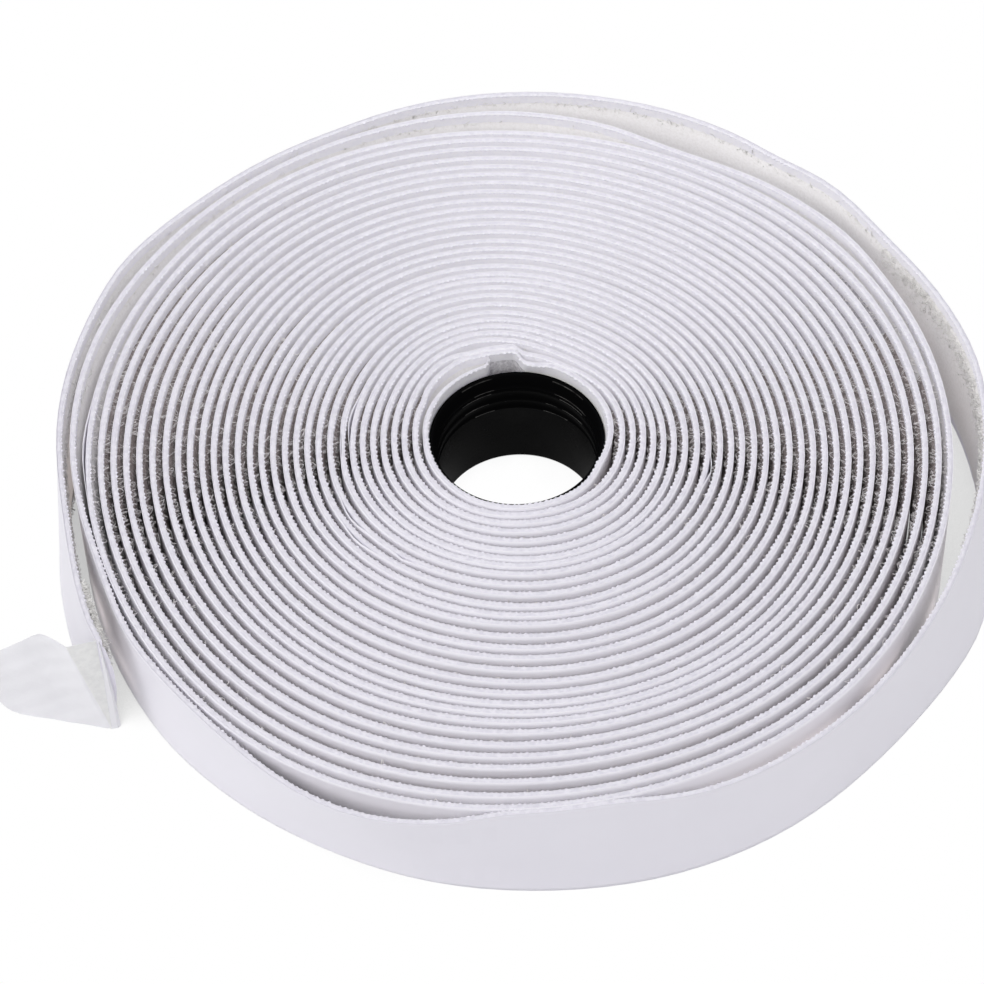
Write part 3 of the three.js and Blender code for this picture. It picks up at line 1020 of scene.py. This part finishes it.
class TAPE_OT_core(bpy.types.Operator):
    """Makes the moulded core"""

    bl_idname = "tape_roll.core"
    bl_label = "Make the core"

    def execute(self, context):
        sizes = context.scene.tape_roll
        points, faces, on_highlight = core_surface(sizes)
        # The second finish is the painted highlight on the core's arcs
        finishes = [shared("core_plastic", core_material), shared("core_scuffed", painted_highlight_material)]
        piece = mesh_object("core", points, faces, None, True, finishes, on_highlight.astype(int), 60)
        dress(piece, "roll", "core", "core_tube")
        return {"FINISHED"}


class TAPE_OT_tape(bpy.types.Operator):
    """Makes the wound ground of the tape and the beads of weft along its edge"""

    bl_idname = "tape_roll.tape"
    bl_label = "Make the tape"

    def execute(self, context):
        sizes = context.scene.tape_roll
        measure_tape(sizes)
        shape = ground_profile(sizes), sizes, ground_materials(), pile_depth, ground_slots
        winding = strip("tape_ground_wound", stations(FIRST_TURN, SPLIT_TURN, sizes), *shape)
        dress(winding, "roll", "tape", "tape_winding")
        end = strip("tape_ground_end", stations(SPLIT_TURN, LAST_TURN, sizes), *shape)
        dress(end, "tail", "tape", "tape_tail", bent=True)
        dress(weft_beads("weft_beads_wound", FIRST_TURN, SPLIT_TURN, sizes), "roll", "tape")
        beads = weft_beads("weft_beads_end", SPLIT_TURN, LAST_TURN, sizes)
        dress(beads, "tail", "tape", bent=True)
        return {"FINISHED"}


class TAPE_OT_pile(bpy.types.Operator):
    """Makes the pile loops on the inner face"""

    bl_idname = "tape_roll.pile"
    bl_label = "Make the pile"

    def execute(self, context):
        sizes = context.scene.tape_roll
        measure_tape(sizes)
        wide = mm(sizes.tape_width)
        high = wide - mm(sizes.bare_margin) + 0.2
        cuts = turn_at(np.linspace(length_at(0.2), length_at(LOOSE_TURN), 6))
        tight = sizes.loop_density, (0.5, 0.95), wide * 0.70, high + 0.5, sizes
        for number, (first, last) in enumerate(zip(cuts, cuts[1:]), 1):
            piece = pile(f"pile_wound_{number}", first, last, *tight, 10 + number, "pile")
            dress(piece, "roll", "tape")
        low, tall = (0.15, 0.35), (0.4, 0.9)
        open_from, open_to = slack_turn(700), slack_turn(752)
        stretches = [
            (LOOSE_TURN, open_from, 0.85, low),
            (open_from, open_to, 3.4, tall),
            (open_to, SPLIT_TURN, 2.2, low),
        ]
        for number, stretch in enumerate(stretches, 1):
            area = wide * 0.4, high, sizes, 30 + number, "pile_open"
            dress(pile(f"pile_slack_{number}", *stretch, *area), "roll", "tape")
        area = 1.0, high - 0.8, sizes, 41, "pile_open"
        piece = pile("pile_end", SPLIT_TURN, LAST_TURN, 1.6, (0.4, 0.8), *area)
        dress(piece, "tail", "tape", bent=True)
        fringe = turn_at(length_at(LAST_TURN) - 14.0)
        area = wide - 8, wide - 0.5, sizes, 43, "pile_open"
        dress(pile("pile_fringe", fringe, LAST_TURN, 9.0, (0.5, 1.2), *area), "tail", "tape")
        return {"FINISHED"}


class TAPE_OT_liner(bpy.types.Operator):
    """Makes the release liner on the outer face and its folded end"""

    bl_idname = "tape_roll.liner"
    bl_label = "Make the liner"

    def execute(self, context):
        sizes = context.scene.tape_roll
        measure_tape(sizes)
        film = [shared("liner_film", liner_material)]
        shape = liner_profile(sizes), sizes, film, liner_outward
        winding = strip("liner_wound", stations(FIRST_TURN, SPLIT_TURN, sizes), *shape)
        dress(winding, "roll", "liner", "liner_winding")
        end = strip("liner_end", stations(SPLIT_TURN, LAST_TURN, sizes), *shape)
        dress(end, "tail", "liner", "liner_tail", bent=True)
        peeled = flap_materials()
        points, quads, facet = flap_surface(sizes)
        slots = facet.astype(int)
        flap = mesh_object("liner_folded", points, quads, None, True, peeled, slots, 50)
        dress(flap, "flap", "liner", "liner_flap", bent=True)
        points, quads = turned_surface(sizes)
        turned = mesh_object("liner_turned", points, quads, None, True, peeled, None, 50)
        dress(turned, "tail", "liner")
        return {"FINISHED"}


class TAPE_OT_stage(bpy.types.Operator):
    """Sets the floor, the lights and the camera"""

    bl_idname = "tape_roll.stage"
    bl_label = "Set the stage"

    def execute(self, context):
        scene = context.scene
        make_floor()
        make_lights(scene)
        make_camera(scene)
        scene.view_settings.view_transform = "Standard"
        scene.view_settings.look = "None"
        return {"FINISHED"}


def white_where_seen(tree, usual, white, output):
    """Plain white for a ray from the camera and for one that gloss or glass sends on, and the
    usual shading for a ray that gathers light."""
    path = node(tree, "ShaderNodeLightPath")
    seen = path.outputs["Is Camera Ray"]
    for name in ("Is Glossy Ray", "Is Transmission Ray"):
        either = node(tree, "ShaderNodeMath", operation="MAXIMUM")
        tree.links.new(seen, either.inputs[0])
        tree.links.new(path.outputs[name], either.inputs[1])
        seen = either.outputs[0]
    mix = node(tree, "ShaderNodeMixShader")
    tree.links.new(seen, mix.inputs["Fac"])
    tree.links.new(usual, mix.inputs[1])
    tree.links.new(white, mix.inputs[2])
    tree.links.new(mix.outputs["Shader"], tree.nodes[output].inputs["Surface"])


def make_floor():
    """A pale floor. Where it is seen it glows plain white, less so where something stands near:
    a painted shadow.
    """
    half = 1500.0
    points = [(-half, -half, 0.0), (half, -half, 0.0), (half, half, 0.0), (-half, half, 0.0)]
    made, tree, shader = material("pale_floor", (0.86, 0.86, 0.87), 0.8, 0.2)
    shader.inputs["Emission Color"].default_value = (1, 1, 1, 1)
    shader.inputs["Emission Strength"].default_value = 0.12
    glow = node(tree, "ShaderNodeEmission", Color=(1, 1, 1, 1), Strength=1.0)
    # Painted shadow: ambient occlusion dims the floor's glow near the roll
    near = node(tree, "ShaderNodeAmbientOcclusion", Distance=0.02)
    near.samples = 16
    shade = node(tree, "ShaderNodeMapRange")
    for name, value in (("From Min", 0.02), ("From Max", 0.36), ("To Min", 0.50), ("To Max", 1.0)):
        shade.inputs[name].default_value = value
    tree.links.new(near.outputs["AO"], shade.inputs["Value"])
    tree.links.new(shade.outputs["Result"], glow.inputs["Strength"])
    white_where_seen(tree, shader.outputs["BSDF"], glow.outputs["Emission"], "Material Output")
    floor = mesh_object("floor", np.array(points), [[0, 1, 2, 3]], None, False, [made])


def make_lights(scene):
    """Even light from the world, which is plain white where it is seen, the lamps and the fills."""
    world = bpy.data.worlds.new("studio")
    scene.world = world
    world.use_nodes = True
    tree = world.node_tree
    usual = tree.nodes["Background"]
    usual.inputs["Color"].default_value = (0.97, 0.97, 1.0, 1)
    usual.inputs["Strength"].default_value = 0.36
    white = node(tree, "ShaderNodeBackground", Color=(1, 1, 1, 1), Strength=1.0)
    white_where_seen(tree, usual.outputs["Background"], white.outputs["Background"], "World Output")
    for name, spot, size, power in LAMPS:
        lamp = make_lamp(scene, name, "DISK", (size, size), power)
        lamp.location = spot
        lamp.rotation_euler = (Vector(spot) * -1).to_track_quat("-Z", "Y").to_euler()
    sizes = scene.tape_roll
    middle = mm(sizes.tape_width) / 2
    loose = bpy.data.collections.new("loose_pieces")
    for name in LOOSE_PIECES:
        loose.objects.link(bpy.data.objects[name])
    for linked in loose.collection_objects:
        linked.light_linking.link_state = "EXCLUDE"
    for number, (degrees, outward, length, power) in enumerate(FILLS, 1):
        turn = slack_turn(degrees)
        gap = free_gap(turn, middle, sizes)
        offset = 0.4 - gap if outward > 0 else -min(1.0, gap / 2)
        theta = math.radians(degrees)
        facing = Vector((math.cos(theta), math.sin(theta), 0)) * outward
        lamp = make_lamp(scene, f"slack_fill_{number}", "RECTANGLE", (length / 1000, 0.015), power)
        lamp.data.color = (1.0, 0.92, 0.87)
        lamp.visible_camera = False
        if turn > SPLIT_TURN and outward < 0:
            lamp.light_linking.receiver_collection = loose
        lamp.location = Vector(place(on_turn(turn, middle, offset, sizes)))
        lamp.rotation_euler = facing.to_track_quat("-Z", "Y").to_euler()


def make_lamp(scene, name, shape, size, power):
    data = bpy.data.lights.new(name, "AREA")
    data.shape = shape
    data.size, data.size_y = size
    data.energy = power
    lamp = bpy.data.objects.new(name, data)
    scene.collection.objects.link(lamp)
    return lamp


def make_camera(scene):
    """The camera at the photograph's viewing angle: it looks down on the roll's front, turned a
    little about its own axis."""
    elevation = math.radians(ELEVATION)
    roll = math.radians(ROLL)
    forward = np.array([0.0, math.cos(elevation), -math.sin(elevation)])
    right = np.array([1.0, 0.0, 0.0])
    up = np.cross(right, forward)
    right_rolled = math.cos(roll) * right + math.sin(roll) * up
    up_rolled = -math.sin(roll) * right + math.cos(roll) * up
    position = place(np.array(TARGET_MM) - DISTANCE_MM * forward)
    data = bpy.data.cameras.new("camera")
    data.sensor_width = SENSOR_MM
    data.lens = FOCAL_LENGTH / PICTURE * SENSOR_MM
    data.shift_x = (PICTURE / 2 - CENTRE_X) / PICTURE
    data.clip_start = 0.01
    camera = bpy.data.objects.new("camera", data)
    scene.collection.objects.link(camera)
    turned = np.eye(4)
    turned[:3] = np.stack([right_rolled, up_rolled, -forward, position], 1)
    camera.matrix_world = Matrix(turned)
    scene.camera = camera


class TAPE_PT_panel(bpy.types.Panel):
    """Sizes of the roll and the steps that build it"""

    bl_idname = "TAPE_PT_panel"
    bl_label = "Tape Roll"
    bl_space_type = "VIEW_3D"
    bl_region_type = "UI"
    bl_category = "Tape Roll"

    def draw(self, context):
        for name in TapeRollSettings.__annotations__:
            self.layout.prop(context.scene.tape_roll, name)
        for step in STEPS:
            self.layout.operator(step.bl_idname)


STEPS = (TAPE_OT_core, TAPE_OT_tape, TAPE_OT_pile, TAPE_OT_liner, TAPE_OT_stage)
CLASSES = (TapeRollSettings, *STEPS, TAPE_PT_panel)


def register():
    for made in CLASSES:
        bpy.utils.register_class(made)
    bpy.types.Scene.tape_roll = PointerProperty(type=TapeRollSettings)


def unregister():
    del bpy.types.Scene.tape_roll
    for made in reversed(CLASSES):
        bpy.utils.unregister_class(made)


def main():
    register()
    bpy.ops.tape_roll.core()
    bpy.ops.tape_roll.tape()
    bpy.ops.tape_roll.pile()
    bpy.ops.tape_roll.liner()
    bpy.ops.tape_roll.stage()


if __name__ == "__main__":
    main()
